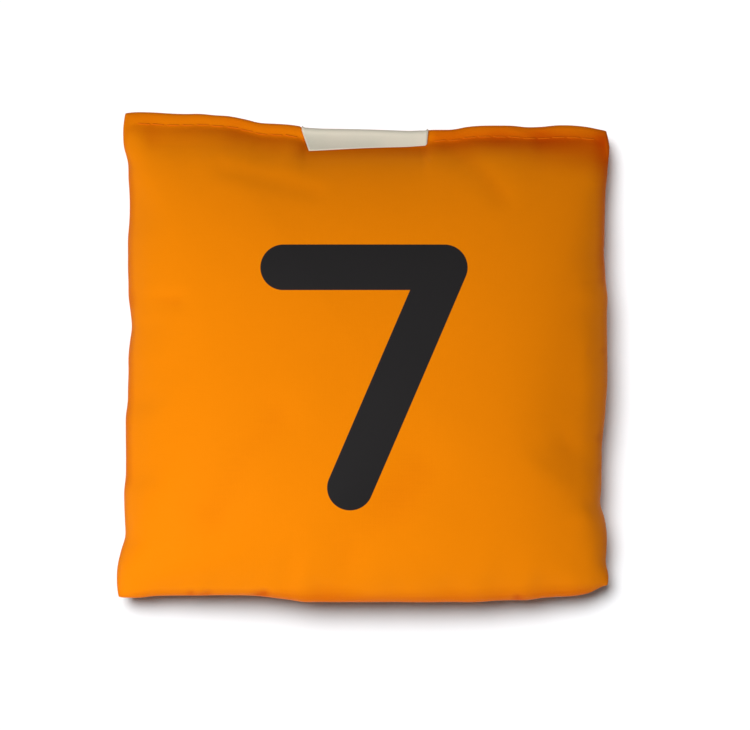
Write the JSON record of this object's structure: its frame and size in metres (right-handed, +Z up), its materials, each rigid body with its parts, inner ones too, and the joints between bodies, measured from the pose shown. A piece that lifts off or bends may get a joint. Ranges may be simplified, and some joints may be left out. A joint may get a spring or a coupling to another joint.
{
  "type": "toss bean bag",
  "caption": "Square sewn cloth bag filled with loose pellets, with turned seams, a topstitched closing seam and a tape label, for tossing and catching.",
  "frame": {"origin": "middle of the bag's outline, on the surface that it lies on", "axes": "+Z up out of the printed front, +Y towards the closing seam and its label, +X to the right as the print is read"},
  "size_m": [0.0988, 0.0984, 0.0239],
  "materials": {
    "cover_cloth": "orange satin weave with a soft sheen",
    "seam_thread": "spun sewing thread, matched to the cloth",
    "label_tape": "off-white satin tape, bare",
    "pellets": "small tumbled pellets"
  },
  "bodies": {
    "bag": {"front_panel": "cover_cloth", "back_panel": "cover_cloth", "filling": "pellets", "turned_seam_needle_thread": "seam_thread", "turned_seam_bobbin_thread": "seam_thread", "closing_seam_needle_thread": "seam_thread", "closing_seam_bobbin_thread": "seam_thread", "label_caught_end": "label_tape"},
    "label_tab": {"label_tab": "label_tape"}
  },
  "joints": [
    {"name": "label_tab_lift", "type": "hinge", "parent": "bag", "child": "label_tab", "pos_m": [0.00026, 0.04665, 0.01044], "axis": [-0.9997, 0.0255, -0.0006], "range_deg": [0, 130], "stiffness_Nm_per_rad": 0.000002}
  ]
}
